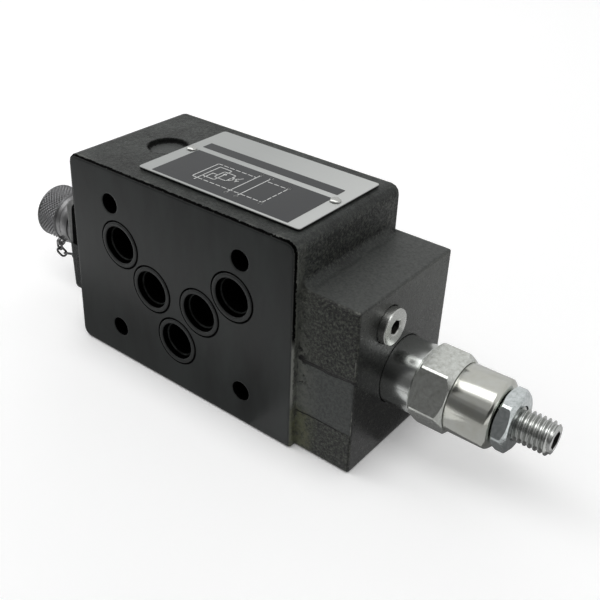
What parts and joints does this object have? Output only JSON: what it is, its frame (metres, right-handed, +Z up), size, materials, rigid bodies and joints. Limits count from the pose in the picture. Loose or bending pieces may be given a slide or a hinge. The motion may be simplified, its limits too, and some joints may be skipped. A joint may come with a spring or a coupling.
{
  "type": "hydraulic sandwich valve",
  "caption": "Stackable pressure reducing valve: ported cast block with a screw-in adjustable cartridge at one end and a capped test point at the other.",
  "frame": {"origin": "centre of the four bolt holes, on the port face that carries the seals", "axes": "+X along the cartridge, towards its adjusting spindle; +Y through the stack, from the port face to the opposite face; +Z up, towards the nameplate"},
  "size_m": [0.2071, 0.0503, 0.0721],
  "materials": {
    "cast_body": "dark grey paint over rough casting",
    "zinc_steel": "bright zinc plated",
    "dull_steel": "dull plated",
    "ground_steel": "ground",
    "spring_steel": "oiled",
    "seal_rubber": "satin",
    "backup_plastic": "matte",
    "plate_alloy": "satin"
  },
  "bodies": {
    "valve": {"valve_body": "cast_body", "nameplate": "plate_alloy", "nameplate_rivet_left": "plate_alloy", "nameplate_rivet_right": "plate_alloy", "port_seal_p": "seal_rubber", "port_seal_a": "seal_rubber", "port_seal_b": "seal_rubber", "port_seal_t": "seal_rubber", "port_seal_t1": "seal_rubber", "drain_plug": "zinc_steel", "drain_plug_washer": "dull_steel", "cartridge_body": "zinc_steel", "cartridge_bonnet": "zinc_steel", "cartridge_sleeve": "ground_steel", "collar_seal": "seal_rubber", "nose_seal": "seal_rubber", "land_seal": "seal_rubber", "bonnet_seal": "seal_rubber", "nose_backup_ring": "backup_plastic", "land_backup_ring": "backup_plastic", "main_spring": "spring_steel", "test_point_body": "zinc_steel", "test_point_washer": "dull_steel", "check_spring": "spring_steel", "neck_ring": "dull_steel", "cap_chain": "dull_steel"},
    "plate": {"spring_plate": "ground_steel", "plate_seal": "seal_rubber"},
    "spindle": {"adjusting_spindle": "zinc_steel"},
    "locknut": {"locknut": "zinc_steel"},
    "spool": {"spool": "ground_steel", "spring_guide": "ground_steel"},
    "ball": {"check_ball": "ground_steel"},
    "cap_ring": {"cap_ring": "dull_steel"},
    "cap": {"dust_cap": "dull_steel", "cap_washer": "seal_rubber"}
  },
  "joints": [
    {"name": "adjuster_travel", "type": "slide", "parent": "valve", "child": "plate", "axis": [1, 0, 0], "range_m": [-0.0035, 0.0015], "deforming": ["main_spring"]},
    {"name": "spindle_turn", "type": "hinge", "parent": "plate", "child": "spindle", "pos_m": [0.103, 0.0265, -0.01], "axis": [1, 0, 0], "range_deg": [-840, 360]},
    {"name": "locknut_turn", "type": "hinge", "parent": "valve", "child": "locknut", "pos_m": [0.103, 0.0265, -0.01], "axis": [1, 0, 0], "range_deg": [0, 180]},
    {"name": "cap_travel", "type": "slide", "parent": "valve", "child": "cap_ring", "axis": [-1, 0, 0], "range_m": [0, 0.01], "deforming": ["cap_chain"]},
    {"name": "cap_turn", "type": "hinge", "parent": "cap_ring", "child": "cap", "pos_m": [-0.083, 0.0265, -0.01], "axis": [-1, 0, 0], "range_deg": [0, 1800]},
    {"name": "spool_slide", "type": "slide", "parent": "valve", "child": "spool", "axis": [1, 0, 0], "range_m": [0, 0.0025], "stiffness_N_per_m": 3000, "springref_m": -0.004, "deforming": ["main_spring"]},
    {"name": "check_ball_slide", "type": "slide", "parent": "valve", "child": "ball", "axis": [1, 0, 0], "range_m": [0, 0.0015], "stiffness_N_per_m": 200, "springref_m": -0.001, "deforming": ["check_spring"]}
  ],
  "couplings": [
    {"joint": "spindle_turn", "follows": "adjuster_travel", "rad_per_m": 4188.8},
    {"joint": "cap_turn", "follows": "cap_travel", "rad_per_m": 3141.6}
  ]
}
